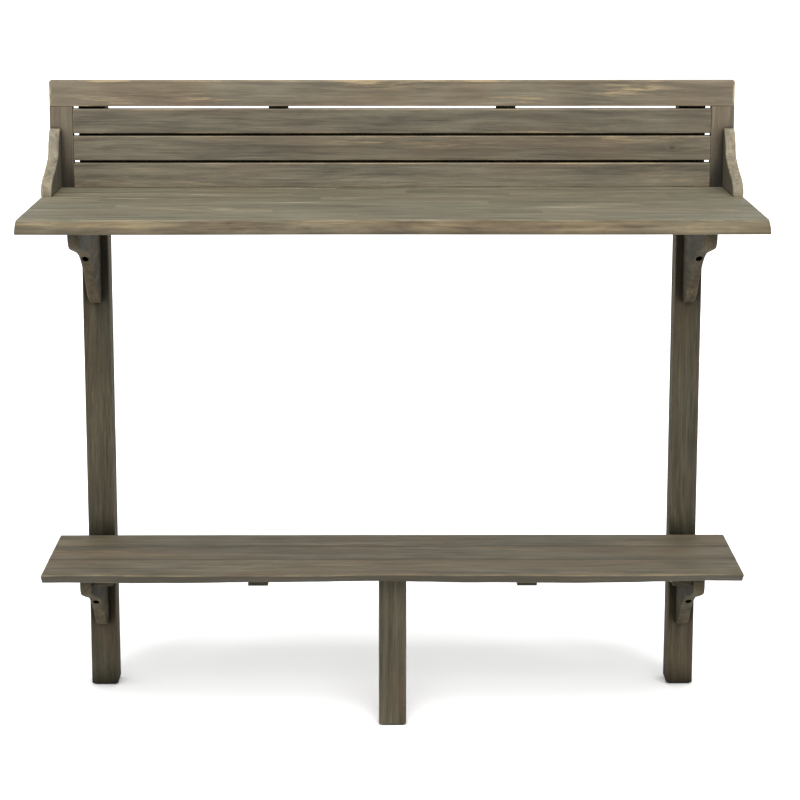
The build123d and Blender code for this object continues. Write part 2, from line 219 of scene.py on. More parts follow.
def smooth_profile(points, steps):
    """A Catmull-Rom line through points, steps to a span."""
    line = []
    padded = [points[0]] + list(points) + [points[-1]]
    for i in range(1, len(padded) - 2):
        p0, p1, p2, p3 = (Vector(p) for p in padded[i - 1:i + 3])
        for k in range(steps):
            t = k / steps
            line.append(tuple(0.5 * (
                2 * p1 + (p2 - p0) * t + (2 * p0 - 5 * p1 + 4 * p2 - p3) * t * t
                + (3 * p1 - p0 - 3 * p2 + p3) * t ** 3)))
    line.append(tuple(points[-1]))
    return line


def live_board(node, front_profile, end, seed):
    """A board along X whose front edge follows a profile of (y, z) points, from its underside up to its top,
    that changes from place to place. Its ends have that radius in millimetres."""
    low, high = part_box(node)
    back = high.y
    steps = flat_steps(back - low.y)
    rows = []
    for s, inset in stations(low.x, high.x, end * MM):
        lo, hi = low.z + inset, high.z - inset
        ring = [(back, hi - TIGHT), (back, lo + TIGHT), (back - TIGHT, lo)]
        edge = [(y + inset * 0.6, min(max(z, lo), hi)) for y, z in front_profile(s)]
        ring += flat_points(ring[-1], edge[0], steps)
        ring += edge
        top_back = (back - TIGHT, hi)
        ring += flat_points(edge[-1], top_back, steps)
        ring.append(top_back)
        rows.append([(s, y, z) for y, z in ring])
    piece = loft("wood_" + node, rows)
    settle(piece, seed)
    return piece


def smooth_ring(places, corners, step):
    """A closed line through places, sharp at the corners and smooth elsewhere, with points about a step
    apart."""
    count = len(places)
    slopes = []
    for i in range(count):
        ahead, behind = places[(i + 1) % count] - places[i], places[i] - places[i - 1]
        slope = ahead.normalized() / ahead.length + behind.normalized() / behind.length
        slopes.append(slope.normalized())
    ring = []
    for i in range(count):
        a, b = places[i], places[(i + 1) % count]
        chord = b - a
        start = chord.normalized() if i in corners else slopes[i]
        stop = chord.normalized() if (i + 1) % count in corners else slopes[(i + 1) % count]
        parts = max(1, round(chord.length / step))
        for k in range(parts):
            t = k / parts
            ring.append(
                a * (2 * t ** 3 - 3 * t ** 2 + 1) + b * (3 * t ** 2 - 2 * t ** 3)
                + start * chord.length * (t ** 3 - 2 * t ** 2 + t) + stop * chord.length * (t ** 3 - t ** 2))
    return ring


def drawn_in(outline, amount):
    """The outline moved inwards by an amount, mitred at its corners."""
    area = sum(a.x * b.y - b.x * a.y for a, b in zip(outline, outline[1:] + outline[:1]))
    turn = 1 if area > 0 else -1
    moved = []
    for i, here in enumerate(outline):
        before = (here - outline[i - 1]).normalized()
        after = (outline[(i + 1) % len(outline)] - here).normalized()
        inward = Vector((-before.y - after.y, before.x + after.x)) * turn
        if inward.length < 1e-6:
            inward = Vector((-after.y, after.x)) * turn
        inward.normalize()
        normal = Vector((-after.y, after.x)) * turn
        moved.append(here + inward * (amount / max(0.5, inward.dot(normal))))
    return moved


# Outlines of the shaped boards: millimetres in front of the back edge and up from the floor, and which of the
# places are sharp corners.
UPPER_BRACKET = (
    ((0, 902), (290, 902), (290, 878), (288, 868), (281, 858), (271, 852), (259, 849), (205, 837), (160, 825),
     (128, 809), (100, 788), (78, 768), (62, 749), (44, 732), (24, 720), (4, 714), (0, 714)),
    (0, 1, 15, 16))
LOWER_BRACKET = (
    ((0, 273), (239, 273), (239, 261), (237, 252), (231, 244), (222, 239.5), (213, 236), (172, 221),
     (126, 204), (96, 186), (74, 169), (56, 150), (40, 134), (20, 123), (4, 118), (0, 118)),
    (0, 1, 14, 15))
EAR = (
    ((0, 924), (0, 1028), (8, 1027), (20, 1014), (27, 1004), (29, 994), (34, 985), (46, 977), (66, 968),
     (90, 959), (113, 951), (127, 941), (131, 931), (131, 924)),
    (0, 1, 13))


def slab(node, shape, arris, seed, rim=False):
    """A shaped board that stands across the bench, with its arrises worn round to a radius in millimetres.
    Rim adds a line of points just inside each side face."""
    low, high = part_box(node)
    places, corners = shape
    step = RIMMED_STEP if rim else OUTLINE_STEP
    outline = smooth_ring([Vector((high.y - d * MM, h * MM)) for d, h in places], corners, step)
    radius = arris * MM
    near = [(low.x + depth, inset) for depth, inset in rounded_end(radius)]
    if rim:
        near.insert(0, (low.x, radius + CAP_RIM))
    far = [(low.x + high.x - x, inset) for x, inset in reversed(near)]
    rows = [[(x, p.x, p.y) for p in drawn_in(outline, inset)] for x, inset in near + far]
    piece = loft("wood_" + node, rows)
    settle(piece, seed)
    return piece


# ---- The live edges

def edge_points(node, shape):
    """A live edge as (y, z) places, from millimetres behind the board's front and above its underside."""
    low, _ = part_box(node)
    front = {"worktop_strip_1": -250.0, "shelf_plank_front": -75.0}[node]
    return smooth_profile([((front + y) * MM, low.z + z * MM) for y, z in shape], PROFILE_STEPS)


def worktop_front(s):
    """The worktop's live edge at a place along the bench, from its underside up."""
    low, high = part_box("worktop_strip_1")
    x = s / MM
    foot = 1.0 + math.sin(x / 120 + 2.0)
    sweep = 6.0 * (x / 600) ** 2
    lip = foot + 17.0 + sweep + 1.8 * math.sin(x / 83 + 0.6) + 1.0 * math.sin(x / 31)
    lip += 0.9 * wave_noise(s * 24, 0, 0, 11) + 0.5 * wave_noise(s * 70, 0, 0, 12)
    belly = 1.6 + 1.2 * wave_noise(s * 14, 2, 0, 13) + 0.5 * wave_noise(s * 50, 2, 0, 14)
    height = (high.z - low.z) / MM
    return edge_points("worktop_strip_1", [
        (foot + 3.0, 0.0),
        (foot + 1.0, 0.8),
        (foot + 0.2, 2.6),
        (foot + 1.2 - 0.2 * belly, 6.5),
        (foot + 0.30 * (lip - foot) - 0.5 * belly, 11.5),
        (foot + 0.60 * (lip - foot) - 0.4 * belly, 16.6),
        (lip - 2.6, 20.3),
        (lip + 0.2, 21.6),
        (lip + 4.0, height),
    ])


def shelf_front(s):
    """The shelf's live edge at a place along the bench, from its underside up."""
    low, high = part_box("shelf_plank_front")
    x = s / MM
    left = 4.0 * math.exp(-(((x + 600) / 130) ** 2))
    nose = 3.0 - left + 3.0 * math.sin(x / 95 + 0.9) + 1.8 * math.sin(x / 41 + 2.0)
    nose += 1.6 * wave_noise(s * 14, 4, 0, 15) + 0.7 * wave_noise(s * 55, 4, 0, 16)
    nose = max(0.3, nose)
    cut = 14.0 + 4.5 * math.sin(x / 110 + 2.6) + 2.6 * wave_noise(s * 14, 5, 0, 17)
    height = (high.z - low.z) / MM
    return edge_points("shelf_plank_front", [
        (nose + cut + 3.0, 0.0),
        (nose + cut + 0.6, 0.7),
        (nose + cut - 1.2, 2.4),
        (nose + 0.66 * cut, 6.0),
        (nose + 0.36 * cut, 10.0),
        (nose + 0.12 * cut, 14.2),
        (nose + 0.2, 16.4),
        (nose + 1.2, 17.6),
        (nose + 3.6, height),
    ])


# ---- Holes

def islands(mesh):
    """The places of each separate solid in a mesh."""
    group = list(range(len(mesh.vertices)))

    def root(i):
        while group[i] != i:
            group[i] = group[group[i]]
            i = group[i]
        return i

    first_at = {}
    for i, vert in enumerate(mesh.vertices):
        key = tuple(round(c, 5) for c in vert.co)
        first_at.setdefault(key, i)
        group[root(i)] = root(first_at[key])
    for edge in mesh.edges:
        group[root(edge.vertices[0])] = root(edge.vertices[1])
    found = {}
    for i, vert in enumerate(mesh.vertices):
        found.setdefault(root(i), []).append(vert.co)
    return found.values()


def fasteners(node):
    """(head's outer face, direction, head radius) of each screw or bolt in a CAD node."""
    spots = []
    for points in islands(NODES[node].data):
        cloud = np.array(points)
        low, high = cloud.min(0), cloud.max(0)
        along = int(np.argmax(high - low))
        middle = (low + high) / 2
        cross = np.delete(cloud - middle, along, 1)
        spread = np.hypot(cross[:, 0], cross[:, 1])
        widest = cloud[spread > spread.max() * 0.98][:, along].mean()
        sign = 1 if widest < middle[along] else -1
        at = Vector(middle)
        at[along] = low[along] if sign > 0 else high[along]
        way = Vector((0, 0, 0))
        way[along] = sign
        spots.append((at, way, float(spread.max())))
    return spots


SCREW_SPOTS = {node: fasteners(node) for node in NODES if node.endswith(("_bolts", "_screws"))}


def cylinder_cutter(at, way, radius, inwards, outwards):
    """Points and faces of a closed round cutter that runs inwards from a head's face and outwards past it."""
    turn = way.to_track_quat("Z", "Y").to_matrix()
    points = []
    for depth in (-outwards, inwards):
        for i in range(BORE_SIDES):
            angle = 2 * math.pi * (i + 0.37) / BORE_SIDES
            points.append(at + turn @ Vector((radius * math.cos(angle), radius * math.sin(angle), depth)))
    faces = [tuple(range(BORE_SIDES)), tuple(range(BORE_SIDES, 2 * BORE_SIDES))]
    for i in range(BORE_SIDES):
        k = (i + 1) % BORE_SIDES
        faces.append((i, k, BORE_SIDES + k, BORE_SIDES + i))
    return points, faces


def near_box(node, at, slack):
    """Whether a point lies in or just outside a CAD node's box."""
    low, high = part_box(node)
    return all(low[i] - slack <= at[i] <= high[i] + slack for i in range(3))


def bore(piece, node, fastener_node, play=0.15, inwards=3.0, outwards=6.0, slack=3.0):
    """Cuts the holes for the heads of those fasteners that reach the piece. In millimetres, a hole is wider
    than the head by the play, and runs inwards and outwards from the head's face."""
    points, faces = [], []
    for at, way, radius in SCREW_SPOTS[fastener_node]:
        if near_box(node, at, slack * MM):
            ring, sides = cylinder_cutter(at, way, radius + play * MM, inwards * MM, outwards * MM)
            faces += [tuple(i + len(points) for i in face) for face in sides]
            points += ring
    if not points:
        return
    cutter = new_piece("cutter", points, faces)
    cut = piece.modifiers.new("bore", "BOOLEAN")
    cut.operation = "DIFFERENCE"
    cut.solver = "EXACT"
    cut.object = cutter
    bpy.context.view_layer.update()
    graph = bpy.context.evaluated_depsgraph_get()
    result = bpy.data.meshes.new_from_object(piece.evaluated_get(graph))
    piece.modifiers.remove(cut)
    piece.data = result
    bpy.data.objects.remove(cutter)


# ---- Marks of wear and stain, and of painted shade, as attributes that the wood reads

def mark_field(piece, name, rule):
    """Writes a number worked out from each point's place as an attribute."""
    layer = piece.data.attributes.new(name, "FLOAT", "POINT")
    layer.data.foreach_set("value", [rule(v.co) for v in piece.data.vertices])


def mark_wear(piece, calm, arris=None):
    """Writes each point's sharpness as the attribute that the wood rubs pale. Calm lists the places along Y
    of the tight joints, where nothing rubs. Arris, where given, is the rule for the front edge instead."""
    work = bmesh.new()
    work.from_mesh(piece.data)
    values = []
    for vert in work.verts:
        most = 0.0
        for edge in vert.link_edges:
            if len(edge.link_faces) == 2 and edge.is_convex:
                most = max(most, edge.calc_face_angle(0.0))
        if any(abs(vert.co.y - seam) < CALM_REACH for seam in calm):
            most = 0.0
        ruled = arris(vert) if arris else None
        values.append(min(1.0, most / FULL_WEAR) if ruled is None else ruled)
    work.free()
    layer = piece.data.attributes.new("wear", "FLOAT", "POINT")
    layer.data.foreach_set("value", values)


def paint_side_shade(piece, node, share):
    """Paints shade on the side faces of a board that stands across the bench, so they are darker than its
    edge.
    """
    low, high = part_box(node)
    middle, half = (low.x + high.x) / 2, (high.x - low.x) / 2
    mark_field(piece, "stain_and_painted_shade", lambda p: share * clamp((abs(p.x - middle) - half + 1.2 * MM) / MM))


def seam_stain(p, seams, share):
    """How much stain has gathered by the nearest of the seams, given as places along Y."""
    gap = min(abs(p.y - seam) for seam in seams)
    return share * max(0.0, 1.0 - gap / SEAM_REACH)


def lip_wear(vert, low, high):
    """The worktop's live edge is rubbed along its upper lip only; None leaves the rest to the usual rule."""
    if vert.co.y > low.y + 35 * MM:
        return None
    return 0.55 if vert.co.z > high.z - 2.6 * MM and vert.normal.z < 0.975 else 0.0


def lip_warmth(p, low):
    """The worktop's live edge shows more of the bare wood, and its underside less."""
    return clamp((22.5 * MM - (p.y - low.y)) / (6 * MM)) * (1.0 if p.z > low.z + 0.5 * MM else 0.3)


def lip_painted_shade(p, low):
    """Painted shade at the foot of the worktop's live edge."""
    return 0.42 * clamp((12 * MM - (p.z - low.z)) / (10 * MM)) if p.y < low.y + 30 * MM else 0.0


def shelf_shade_and_stain(p, high):
    """Painted shade on the shelf's live edge below its lip, and stain gathered along the first seam."""
    if p.y < high.y - 60 * MM:
        return clamp((high.z - 1.2 * MM - p.z) / (2 * MM))
    return seam_stain(p, [high.y], 1.0)


# ---- Materials

class Graph:
    """A new material, and a short way to write its nodes."""

    def __init__(self, name):
        self.material = bpy.data.materials.new(name)
        self.material.use_nodes = True
        self.tree = self.material.node_tree
        self.tree.nodes.clear()

    def add(self, kind, settings=None, **inputs):
        node = self.tree.nodes.new(kind)
        for key, value in (settings or {}).items():
            setattr(node, key, value)
        for key, value in inputs.items():
            self.feed(node.inputs[key.replace("_", " ")], value)
        return node

    def feed(self, socket, value):
        if isinstance(value, bpy.types.NodeSocket):
            self.tree.links.new(value, socket)
        else:
            socket.default_value = value

    def place(self):
        return self.add("ShaderNodeTexCoord").outputs["Object"]

    def attribute(self, name):
        return self.add("ShaderNodeAttribute", {"attribute_name": name}).outputs["Fac"]

    def math(self, operation, a, b=0.0, clamp=False):
        node = self.tree.nodes.new("ShaderNodeMath")
        node.operation = operation
        node.use_clamp = clamp
        self.feed(node.inputs[0], a)
        self.feed(node.inputs[1], b)
        return node.outputs[0]

    def blend(self, *parts):
        """The sum of (value, share) pairs."""
        total = None
        for value, share in parts:
            part = self.math("MULTIPLY", value, share)
            total = part if total is None else self.math("ADD", total, part)
        return total

    def vector(self, operation, a, b):
        node = self.tree.nodes.new("ShaderNodeVectorMath")
        node.operation = operation
        self.feed(node.inputs[0], a)
        self.feed(node.inputs[1], b)
        return node.outputs["Value"] if operation == "LENGTH" else node.outputs[0]

    def join(self, x=0.0, y=0.0, z=0.0):
        return self.add("ShaderNodeCombineXYZ", None, X=x, Y=y, Z=z).outputs[0]

    def split(self, vector):
        return self.add("ShaderNodeSeparateXYZ", None, Vector=vector).outputs

    def noise(self, place, scale, detail, rough=0.55):
        stretched = self.vector("MULTIPLY", place, scale)
        node = self.add("ShaderNodeTexNoise", None, Scale=1.0, Detail=detail, Roughness=rough)
        self.feed(node.inputs["Vector"], stretched)
        return node.outputs["Fac"]

    def wave(self, place, settings, scale, distortion, detail):
        node = self.add("ShaderNodeTexWave", settings, Scale=scale, Distortion=distortion, Detail=detail)
        self.feed(node.inputs["Vector"], place)
        return node.outputs["Fac"]

    def ease(self, value, low, high, out_low=0.0, out_high=1.0):
        node = self.tree.nodes.new("ShaderNodeMapRange")
        node.interpolation_type = "SMOOTHSTEP"
        self.feed(node.inputs["Value"], value)
        for key, number in (("From Min", low), ("From Max", high), ("To Min", out_low), ("To Max", out_high)):
            self.feed(node.inputs[key], number)
        return node.outputs["Result"]

    def mix(self, share, a, b, blend="MIX"):
        node = self.tree.nodes.new("ShaderNodeMix")
        node.data_type = "RGBA"
        node.blend_type = blend
        self.feed(node.inputs[0], share)
        self.feed(node.inputs[6], a)
        self.feed(node.inputs[7], b)
        return node.outputs[2]

    def darken(self, colour, gain):
        """The colour multiplied by a grey."""
        grey = self.add("ShaderNodeCombineColor", None, Red=gain, Green=gain, Blue=gain).outputs[0]
        return self.mix(1.0, colour, grey, "MULTIPLY")

    def ramp(self, value, stops, interpolation="LINEAR"):
        node = self.tree.nodes.new("ShaderNodeValToRGB")
        node.color_ramp.interpolation = interpolation
        ramp = node.color_ramp
        while len(ramp.elements) > 1:
            ramp.elements.remove(ramp.elements[-1])
        for i, (place, colour) in enumerate(stops):
            stop = ramp.elements[0] if i == 0 else ramp.elements.new(place)
            stop.position = place
            stop.color = colour
        self.feed(node.inputs[0], value)
        return node.outputs["Color"]

    def surface(self, colour, rough, height, strength, distance, **uniform):
        """Ends the tree with a shader over a bump, and returns the material. Uniform values are set on the
        shader's own sockets."""
        bump = self.add("ShaderNodeBump", None, Strength=strength, Distance=distance)
        self.feed(bump.inputs["Height"], height)
        shader = self.add("ShaderNodeBsdfPrincipled", None, **uniform)
        self.feed(shader.inputs["Base Color"], colour)
        self.feed(shader.inputs["Roughness"], rough)
        self.feed(shader.inputs["Normal"], bump.outputs[0])
        out = self.add("ShaderNodeOutputMaterial")
        self.tree.links.new(shader.outputs[0], out.inputs["Surface"])
        return self.material


def tint(r, g, b):
    return (r, g, b, 1.0)


def scaled(colour, by):
    return tuple(c * by for c in colour[:3]) + (1.0,)


# The stained woods: dark, middle and pale grain, warm patches, and bare wood where it is rubbed
PALETTES = {
    "worktop_wood": {
        "dark": tint(0.060, 0.055, 0.037),
        "mid": tint(0.108, 0.099, 0.066),
        "pale": tint(0.160, 0.148, 0.104),
        "warm": tint(0.125, 0.094, 0.055),
        "rub": tint(0.30, 0.26, 0.17),
    },
    "backsplash_wood": {
        "dark": tint(0.052, 0.047, 0.034),
        "mid": tint(0.096, 0.084, 0.060),
        "pale": tint(0.142, 0.126, 0.088),
        "warm": tint(0.125, 0.082, 0.049),
        "rub": tint(0.27, 0.205, 0.115),
    },
    "shelf_wood": {
        "dark": tint(0.045, 0.038, 0.025),
        "mid": tint(0.079, 0.067, 0.042),
        "pale": tint(0.112, 0.095, 0.060),
        "warm": tint(0.097, 0.064, 0.034),
        "rub": tint(0.20, 0.15, 0.085),
    },
    "frame_wood": {
        "dark": tint(0.026, 0.024, 0.017),
        "mid": tint(0.046, 0.041, 0.028),
        "pale": tint(0.068, 0.060, 0.041),
        "warm": tint(0.060, 0.040, 0.024),
        "rub": tint(0.135, 0.10, 0.058),
    },
}
TAN_STOPS = (
    (0.38, tint(0.036, 0.025, 0.013)),
    (0.46, tint(0.074, 0.053, 0.029)),
    (0.54, tint(0.104, 0.077, 0.041)),
    (0.66, tint(0.190, 0.140, 0.074)),
)
CREAM = tint(0.36, 0.31, 0.20)
WOOD_SHINE = 0.2
FRAME_SHINE = 0.02
# How far the painted corner shade looks for nearby surfaces.
PAINTED_SHADE_REACH = 55 * MM


def stave_tones(g, along, staves):
    """The tone of the stave at a place along a strip, from (end along the grain, tone) pairs."""
    share = g.math("DIVIDE", g.math("ADD", along, HALF_LENGTH), 2 * HALF_LENGTH)
    stops, start = [], 0.0
    for end, value in staves:
        stops.append((start, tint(value, value, value)))
        start = (end + HALF_LENGTH) / (2 * HALF_LENGTH)
    ramp = g.ramp(share, stops, "CONSTANT")
    return g.add("ShaderNodeSeparateColor", None, Color=ramp).outputs[0]


def shifted(g, grain, seed, stave):
    """The place in the grain from which the noises are read, elsewhere for each seed and each stave."""
    rng = random.Random(seed)
    spot = g.vector("ADD", grain, (rng.uniform(-9, 9), rng.uniform(-9, 9), rng.uniform(-9, 9)))
    if stave is None:
        return spot
    jump = g.join(g.math("MULTIPLY", stave, 31.0), g.math("MULTIPLY", stave, 17.0))
    return g.vector("ADD", spot, jump)


def grain_order(place, axis):
    """A place as (along the grain, u, v)."""
    return tuple(place[i] for i in AXES[axis])


def knot_mask(g, grain, axis, knots):
    """1 in a knot and 0 away from it, from (place, radius) pairs."""
    mask = None
    for at, radius in knots:
        gap = g.vector("SUBTRACT", grain, grain_order(at, axis))
        gap = g.vector("MULTIPLY", gap, (0.55, 1.0, 1.0))
        far = g.vector("LENGTH", gap, (0, 0, 0))
        one = g.ease(far, radius * 0.25, radius * 1.6, 1.0, 0.0)
        mask = one if mask is None else g.math("MAXIMUM", mask, one)
    return mask


def wandering(g, spot, knot):
    """The grain wanders, and turns aside at a knot."""
    bend = g.math("MULTIPLY", g.noise(spot, (1.6, 7.0, 7.0), 2.0), 0.035)
    if knot is not None:
        bend = g.math("ADD", bend, g.math("MULTIPLY", knot, 0.03))
    return g.vector("ADD", spot, g.join(0.0, bend, bend))


def wood_fields(g, spot):
    """The noises of which the wood is made, each stretched along the grain."""
    bands = {"wave_type": "BANDS", "bands_direction": "Y"}
    return {
        "streak": g.noise(spot, (4.6, 125.0, 125.0), 7.0, 0.66),
        "fibre": g.noise(spot, (16.0, 430.0, 430.0), 3.0, 0.6),
        "hair": g.noise(spot, (55.0, 1900.0, 1900.0), 2.0, 0.5),
        "patch": g.noise(spot, (3.2, 11.0, 11.0), 3.0, 0.55),
        "cloud": g.noise(spot, (8.5, 32.0, 32.0), 4.0, 0.62),
        "figure": g.wave(g.vector("MULTIPLY", spot, (0.10, 1.0, 1.0)), bands, 14.0, 9.0, 3.0),
        "line": g.noise(spot, (4.0, 240.0, 240.0), 4.0, 0.6),
        "thin": g.noise(spot, (13.0, 230.0, 230.0), 5.0, 0.68),
        "where": g.noise(spot, (2.4, 19.0, 19.0), 2.0, 0.5),
        "chance": g.noise(spot, (9.0, 40.0, 40.0), 4.0, 0.65),
    }


def stained(g, field, palette, warmth):
    """The stained grain, its warm patches, and thin dark lines of stain held in open pores."""
    value = g.blend((field["streak"], 1.05), (field["fibre"], 0.50), (field["figure"], 0.10),
                    (field["cloud"], 0.55))
    value = g.math("SUBTRACT", value, 0.61)
    colour = g.ramp(value, [(0.22, palette["dark"]), (0.50, palette["mid"]), (0.78, palette["pale"])])
    colour = g.mix(g.ease(field["patch"], 0.42, 0.68, 0.0, warmth), colour, palette["warm"])
    return g.mix(g.ease(field["line"], 0.60, 0.74, 0.0, 0.55), colour, scaled(palette["dark"], 0.62))


def sanded(g, field, colour, palette, rub):
    """Places where sanding went through the stain."""
    through = g.math("MULTIPLY", g.ease(field["thin"], 0.46, 0.66), g.ease(field["where"], 0.50, 0.68))
    return g.mix(g.math("MULTIPLY", through, 0.75 * rub, clamp=True), colour, palette["rub"])


def marked(g, field, colour, palette, rub):
    """The faces marked warm show the wood under the stain, those marked dim are darker, from stain at the
    seams and from painted shade elsewhere, and worn arrises are rubbed."""
    tan = g.ramp(g.blend((field["cloud"], 0.6), (field["streak"], 0.4)), TAN_STOPS)
    bare = g.ease(field["patch"], 0.30, 0.62, 0.55, 0.95)
    colour = g.mix(g.math("MULTIPLY", g.attribute("warm_face"), bare), colour, tan)
    # The dim mark darkens the colour: stain at the seams, and painted shade elsewhere.
    dim = g.math("MULTIPLY", g.attribute("stain_and_painted_shade"), 0.8)
    colour = g.mix(dim, colour, scaled(palette["dark"], 0.8))
    chance = g.ease(field["chance"], 0.42, 0.66, 0.10, 0.85)
    rubbed = g.math("MULTIPLY", g.ease(g.attribute("wear"), 0.15, 0.9), chance)
    return g.mix(g.math("MULTIPLY", rubbed, 0.72 * rub, clamp=True), colour, palette["rub"])


def scarred(g, field, grain, axis, colour, scars):
    """Ragged scars of bare cream wood, from (place, half length, half width) triples."""
    for at, half_length, half_width in scars:
        gap = g.vector("SUBTRACT", grain, grain_order(at, axis))
        gap = g.vector("MULTIPLY", gap, (1 / half_length, 1 / half_width, 1 / half_width))
        bare = g.ease(g.vector("LENGTH", gap, (0, 0, 0)), 0.3, 1.0, 1.0, 0.0)
        ragged = g.ease(g.blend((field["thin"], 0.7), (field["fibre"], 0.3)), 0.44, 0.60)
        colour = g.mix(g.math("MULTIPLY", g.math("MULTIPLY", bare, ragged), 0.62), colour, CREAM)
    return colour


def end_grained(g, spot, axis, colour, palette, share):
    """End grain takes more stain, and shows its rings."""
    normal = g.add("ShaderNodeNewGeometry").outputs["Normal"]
    facing = g.split(normal)[AXES[axis][0]]
    end_face = g.ease(g.math("ABSOLUTE", facing), 0.75, 0.95)
    round_rings = {"wave_type": "RINGS", "rings_direction": "X"}
    rings = g.wave(g.vector("MULTIPLY", spot, (0.0, 1.0, 1.0)), round_rings, 46.0, 2.2, 2.0)
    end_colour = g.mix(rings, scaled(palette["dark"], 0.85), scaled(palette["mid"], 0.95))
    return g.mix(g.math("MULTIPLY", end_face, share), colour, end_colour)


def wood(name, slot, axis, seed, rub=1.0, staves=None, knots=(), scars=(), tone=1.0, warmth=0.35,
         end_grain=0.75, crevice=0.0):
    """Weathered, stained hardwood with its grain along axis. Rub is how much bare wood shows, and the last
    argument how much painted shade darkens the wood in its inner corners."""
    palette = {key: scaled(colour, tone) for key, colour in PALETTES[slot].items()}
    g = Graph(name)
    place = g.split(g.place())
    grain = g.join(*grain_order(place, axis))
    stave = stave_tones(g, place[AXES[axis][0]], staves) if staves else None
    knot = knot_mask(g, grain, axis, knots)
    spot = wandering(g, shifted(g, grain, seed, stave), knot)
    field = wood_fields(g, spot)

    colour = stained(g, field, palette, warmth)
    colour = sanded(g, field, colour, palette, rub)
    colour = marked(g, field, colour, palette, rub)
    if knot is not None:
        colour = g.mix(g.math("MULTIPLY", knot, 0.62), colour, scaled(palette["dark"], 0.55))
    colour = scarred(g, field, grain, axis, colour, scars)
    colour = end_grained(g, spot, axis, colour, palette, end_grain)
    if stave is not None:
        colour = g.darken(colour, g.ease(stave, 0.2, 0.8, 0.90, 1.11))
    # Painted shade: an occlusion term darkens the colour in inner corners and beside other parts.
    if crevice:
        sky = g.add("ShaderNodeAmbientOcclusion", {"samples": 6}, Distance=PAINTED_SHADE_REACH).outputs["AO"]
        colour = g.darken(colour, g.ease(sky, 0.48, 0.94, 1.0 - crevice, 1.0))

    rough = g.ease(g.blend((field["fibre"], 0.6), (field["cloud"], 0.4)), 0.3, 0.7, 0.74, 0.56)
    pores = g.ease(field["line"], 0.60, 0.74)
    height = g.blend((field["fibre"], 0.55), (field["hair"], 0.30), (pores, -0.35), (field["streak"], 0.5))
    shine = FRAME_SHINE if slot == "frame_wood" else WOOD_SHINE
    return g.surface(colour, rough, height, 0.45, 0.0009, Specular_IOR_Level=shine)


def zinc():
    """Zinc-plated steel, a little dulled."""
    g = Graph("zinc_steel")
    place = g.place()
    spangle = g.noise(place, (420.0, 420.0, 420.0), 3.0)
    scratch = g.noise(place, (1500.0, 260.0, 1500.0), 2.0)
    colour = g.ramp(spangle, [(0.35, tint(0.30, 0.30, 0.29)), (0.65, tint(0.55, 0.55, 0.54))])
    return g.surface(colour, g.ease(scratch, 0.3, 0.7, 0.32, 0.5), scratch, 0.2, 0.0002, Metallic=1.0)


def pad_plastic():
    """Dark moulded plastic of the glides."""
    g = Graph("glide_plastic")
    place = g.place()
    mottle = g.noise(place, (260.0, 260.0, 260.0), 3.0)
    grit = g.noise(place, (2600.0, 2600.0, 2600.0), 2.0)
    colour = g.ramp(mottle, [(0.35, tint(0.018, 0.016, 0.014)), (0.7, tint(0.036, 0.032, 0.027))])
    return g.surface(colour, g.ease(mottle, 0.3, 0.7, 0.45, 0.62), grit, 0.3, 0.0002)


# ---- The pieces

def finish_piece(piece, node, axis, seed, calm=(), arris=None, **look):
    """Shading, wear marks, wood, body and slot of a finished board."""
    piece.data.polygons.foreach_set("use_smooth", [True] * len(piece.data.polygons))
    piece.data.set_sharp_from_angle(angle=SHARP)
    for face in piece.data.polygons:
        if len(face.vertices) > CAP_SIDES:
            face.use_smooth = False
    mark_wear(piece, calm, arris)
    piece.data.materials.clear()
    piece.data.materials.append(wood(node, SLOTS[node], axis, seed, **look))
    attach(piece, "root")
    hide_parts(node)


# Where each strip's staves end, and their tones
STAVES = {
    2: [(-0.41, 0.40), (-0.06, 0.62), (0.33, 0.44), (0.60, 0.56)],
    3: [(-0.20, 0.55), (0.24, 0.36), (0.60, 0.60)],
    4: [(-0.46, 0.35), (-0.305, 0.66), (0.05, 0.42), (0.41, 0.58), (0.60, 0.40)],
    5: [(-0.30, 0.45), (0.155, 0.60), (0.60, 0.34)],
    6: [(-0.50, 0.62), (-0.122, 0.38), (0.28, 0.55), (0.60, 0.46)],
    7: [(-0.17, 0.58), (0.20, 0.44), (0.47, 0.62), (0.60, 0.38)],
    8: [(-0.37, 0.44), (0.02, 0.57), (0.60, 0.47)],
    9: [(-0.10, 0.50), (0.36, 0.42), (0.60, 0.54)],
}
# The scars of each strip: place, half length and half width
SCARS = {
    1: [((-0.088, -0.233, WORKTOP_TOP - 0.004), 0.030, 0.007),
        ((-0.060, -0.240, WORKTOP_TOP - 0.012), 0.034, 0.0045),
        ((0.20, -0.229, WORKTOP_TOP), 0.075, 0.003),
        ((-0.30, -0.246, WORKTOP_TOP - 0.019), 0.05, 0.003),
        ((0.05, -0.230, WORKTOP_TOP), 0.06, 0.0025)],
    3: [((0.545, -0.118, WORKTOP_TOP), 0.03, 0.010)],
    4: [((-0.380, -0.088, WORKTOP_TOP), 0.055, 0.008),
        ((-0.290, -0.092, WORKTOP_TOP), 0.045, 0.007),
        ((-0.20, -0.07, WORKTOP_TOP), 0.06, 0.004)],
    5: [((-0.160, -0.022, WORKTOP_TOP), 0.075, 0.007),
        ((-0.03, -0.035, WORKTOP_TOP), 0.05, 0.004)],
    6: [((0.46, 0.025, WORKTOP_TOP), 0.07, 0.004),
        ((-0.45, 0.030, WORKTOP_TOP), 0.05, 0.004)],
}
# Tones of the backsplash slats; the lower slat's higher tone is painted light, for the light bounced up onto
# it from the worktop.
SLAT_TONES_WITH_PAINTED_LIGHT = {"lower": 1.26, "middle": 1.07, "upper": 1.05}
SLAT_KNOTS = {"middle": [((0.492, 0.18, 0.993), 0.0048)]}


